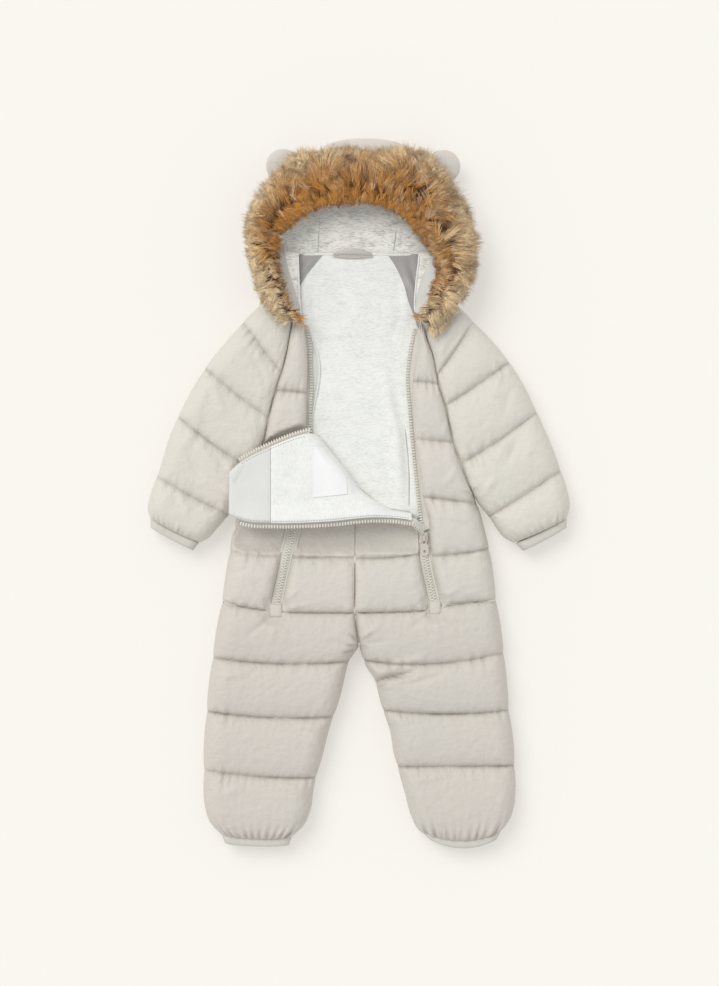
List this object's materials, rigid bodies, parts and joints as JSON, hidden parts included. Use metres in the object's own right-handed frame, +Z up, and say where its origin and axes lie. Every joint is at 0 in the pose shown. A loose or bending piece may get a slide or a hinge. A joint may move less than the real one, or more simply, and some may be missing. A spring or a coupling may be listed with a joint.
{
  "type": "toddler's padded one-piece hooded snowsuit",
  "caption": "Toddler's quilted one-piece snowsuit with a fur-trimmed hood, laid flat on its back with the zipped centre front opened and folded down over the body.",
  "frame": {"origin": "on the surface that the suit lies on, under the middle of its bounding box", "axes": "+X to the right as one looks down on the laid-out suit, +Y from the feet towards the hood, +Z up from the surface"},
  "size_m": [0.4669, 0.7798, 0.065],
  "materials": {
    "shell": "soft sheen",
    "jersey": "matt, heather knit",
    "facing": "matt",
    "sleeve_lining": "satin",
    "fur": "long pile",
    "zip_tape": "matt tape with teeth",
    "slider": "satin",
    "binding": "ribbed",
    "label": "satin"
  },
  "bodies": {
    "suit": {"back_left": "shell", "back_lining": "jersey", "back_right": "shell", "care_label": "label", "centre_front_left": "shell", "centre_front_right": "shell", "chin_tab": "facing", "cuff_binding_left": "binding", "cuff_binding_right": "binding", "ear_left": "shell", "ear_right": "shell", "folded_front": "shell", "folded_front_corner": "facing", "folded_front_facing": "facing", "folded_front_lining": "jersey", "fur_trim": "fur", "hanging_loop": "binding", "hem_binding_left": "binding", "hem_binding_right": "binding", "hood_middle": "shell", "hood_middle_lining": "jersey", "hood_side_left": "shell", "hood_side_lining_left": "jersey", "hood_side_lining_right": "jersey", "hood_side_right": "shell", "leg_front_left": "shell", "leg_front_right": "shell", "side_front_left": "shell", "side_front_right": "shell", "sleeve_left": "shell", "sleeve_lining_left": "sleeve_lining", "sleeve_lining_right": "sleeve_lining", "sleeve_right": "shell", "slider_left": "slider", "slider_right": "slider", "zip_closed_left": "zip_tape", "zip_closed_right": "zip_tape", "zip_end_left": "shell", "zip_end_right": "shell", "zip_guard_left": "facing", "zip_open_folded_bottom": "zip_tape", "zip_open_folded_top": "zip_tape", "zip_open_left": "zip_tape", "zip_open_right": "zip_tape"},
    "pull": {"pull_tab": "slider"}
  },
  "joints": [
    {"name": "pull_hinge", "type": "hinge", "parent": "suit", "child": "pull", "pos_m": [0.0708, -0.0494, 0.0283], "axis": [-0.9976, -0.0698, 0], "range_deg": [0, 120]}
  ]
}
